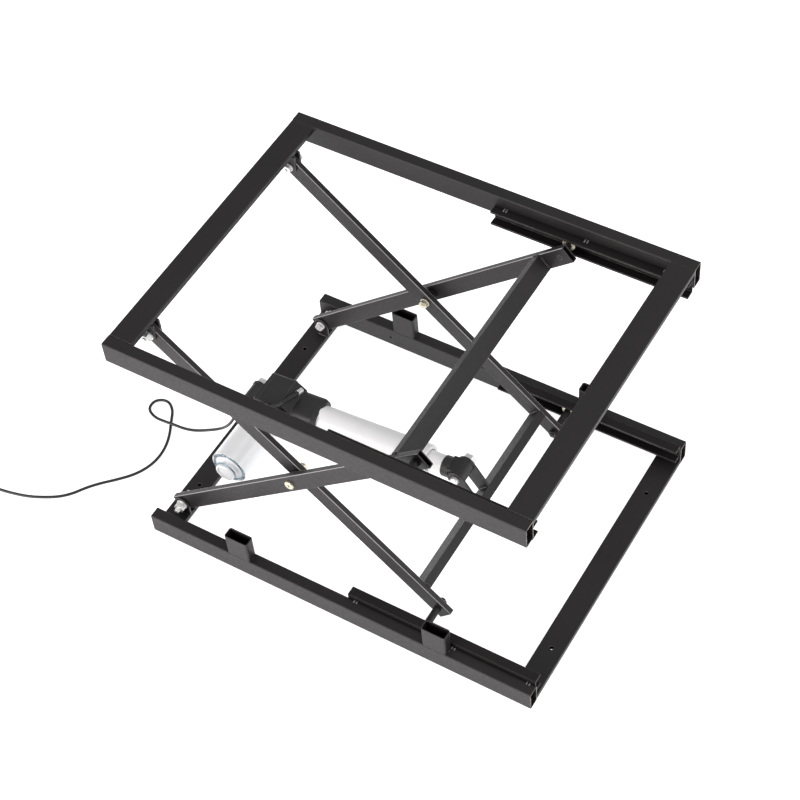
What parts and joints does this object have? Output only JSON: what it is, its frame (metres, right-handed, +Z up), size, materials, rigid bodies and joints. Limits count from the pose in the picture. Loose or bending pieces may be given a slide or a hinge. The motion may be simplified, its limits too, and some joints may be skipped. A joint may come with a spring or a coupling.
{
  "type": "scissor lift with linear actuator",
  "caption": "Low scissor lift frame of black steel tube, folded and raised by an electric screw actuator between its base and its arms, with a trailing cable.",
  "frame": {"origin": "centre of the base frame, on the surface it stands on", "axes": "+X along the long rails, away from the fixed pivots and towards the roller tracks' open ends; +Z up; the motor is on the -Y side"},
  "size_m": [1.0665, 0.6935, 0.48],
  "materials": {
    "frame_black": "satin powder coat",
    "zinc_plate": "bright zinc plate",
    "yellow_zinc": "yellow zinc plate",
    "tube_silver": "satin anodised",
    "rod_steel": "ground and polished",
    "motor_steel": "galvanised, satin",
    "housing_black": "moulded, satin",
    "cable_black": "satin",
    "bush_plastic": "matt",
    "bronze": "satin"
  },
  "bodies": {
    "base": {"base_rail_front": "frame_black", "base_rail_back": "frame_black", "base_bar_left": "frame_black", "base_bar_right": "frame_black", "base_track_front": "frame_black", "base_track_back": "frame_black", "rest_stubs": "frame_black", "base_lugs": "frame_black", "base_pivot_bolts": "zinc_plate", "rear_bracket": "frame_black", "rear_bolt": "zinc_plate", "cable": "cable_black", "cable_coil": "cable_black", "cable_tail": "cable_black", "cable_plug": "housing_black"},
    "pair_1": {"arm_1_front": "frame_black", "arm_1_back": "frame_black", "cross_tube_1": "frame_black", "pivot_bushes_1": "bush_plastic", "centre_bolts": "yellow_zinc", "spacers_1": "frame_black", "roller_pins_1": "frame_black"},
    "pair_2": {"arm_2_front": "frame_black", "arm_2_back": "frame_black", "cross_tube_2": "frame_black", "pivot_bushes_2": "bush_plastic", "spacers_2": "frame_black", "roller_pins_2": "frame_black", "rod_bracket": "frame_black", "rod_bolt": "zinc_plate"},
    "top_frame": {"top_rail_front": "frame_black", "top_rail_back": "frame_black", "top_bar_left": "frame_black", "top_bar_right": "frame_black", "top_track_front": "frame_black", "top_track_back": "frame_black", "top_lugs": "frame_black", "top_pivot_bolts": "zinc_plate"},
    "roller_base_front": {"roller_base_front": "yellow_zinc"},
    "roller_base_back": {"roller_base_back": "yellow_zinc"},
    "roller_top_front": {"roller_top_front": "yellow_zinc"},
    "roller_top_back": {"roller_top_back": "yellow_zinc"},
    "barrel": {"gearbox_housing": "housing_black", "gearbox_cover": "housing_black", "cover_screws": "zinc_plate", "cable_gland": "zinc_plate", "motor_can": "motor_steel", "motor_end_cap": "motor_steel", "outer_tube": "tube_silver", "end_gland": "tube_silver", "screw_bearings": "rod_steel"},
    "spindle": {"lead_screw": "rod_steel", "worm_wheel": "bronze"},
    "drive_nut": {"drive_nut": "bronze"},
    "rotor": {"worm_shaft": "rod_steel"},
    "rod": {"inner_tube": "tube_silver", "tail_bush": "bush_plastic", "rod_end": "housing_black"}
  },
  "joints": [
    {"name": "lift", "type": "hinge", "parent": "base", "child": "pair_1", "pos_m": [-0.32, 0, 0.035], "axis": [0, 1, 0], "range_deg": [0, 36]},
    {"name": "scissor_cross", "type": "hinge", "parent": "pair_1", "child": "pair_2", "pos_m": [-0.086, 0, 0.24], "axis": [0, 1, 0], "range_deg": [-72.1, 0]},
    {"name": "top_level", "type": "hinge", "parent": "pair_2", "child": "top_frame", "pos_m": [-0.32, 0, 0.445], "axis": [0, 1, 0], "range_deg": [0, 36.1]},
    {"name": "barrel_swing", "type": "hinge", "parent": "base", "child": "barrel", "pos_m": [-0.318, 0, 0.074], "axis": [0, 1, 0], "range_deg": [0, 7.5]},
    {"name": "rod_swing", "type": "hinge", "parent": "pair_2", "child": "rod", "pos_m": [0.08177, 0, 0.11296], "axis": [0, 1, 0], "range_deg": [0, 43.5]},
    {"name": "nut_travel", "type": "slide", "parent": "barrel", "child": "drive_nut", "axis": [0.9953, 0, 0.097], "range_m": [0, 0.1168]},
    {"name": "screw_spin", "type": "hinge", "parent": "barrel", "child": "spindle", "pos_m": [-0.318, 0, 0.074], "axis": [0.9953, 0, 0.097], "continuous": true},
    {"name": "rotor_spin", "type": "hinge", "parent": "barrel", "child": "rotor", "pos_m": [-0.26178, 0, 0.09505], "axis": [0, 1, 0], "continuous": true},
    {"name": "roller_base_front_spin", "type": "hinge", "parent": "pair_2", "child": "roller_base_front", "pos_m": [0.148, -0.2421, 0.035], "axis": [0, 1, 0], "continuous": true},
    {"name": "roller_base_back_spin", "type": "hinge", "parent": "pair_2", "child": "roller_base_back", "pos_m": [0.148, 0.2421, 0.035], "axis": [0, 1, 0], "continuous": true},
    {"name": "roller_top_front_spin", "type": "hinge", "parent": "pair_1", "child": "roller_top_front", "pos_m": [0.148, -0.2421, 0.445], "axis": [0, 1, 0], "continuous": true},
    {"name": "roller_top_back_spin", "type": "hinge", "parent": "pair_1", "child": "roller_top_back", "pos_m": [0.148, 0.2421, 0.445], "axis": [0, 1, 0], "continuous": true}
  ],
  "couplings": [
    {"joint": "scissor_cross", "follows": "lift", "ratio": -2},
    {"joint": "top_level", "follows": "lift", "ratio": 1},
    {"joint": "barrel_swing", "follows": "lift", "ratio": 0.2048},
    {"joint": "rod_swing", "follows": "lift", "ratio": 1.2048},
    {"joint": "nut_travel", "follows": "lift", "m_per_rad": 0.1857},
    {"joint": "screw_spin", "follows": "lift", "ratio": -194.46}
  ]
}
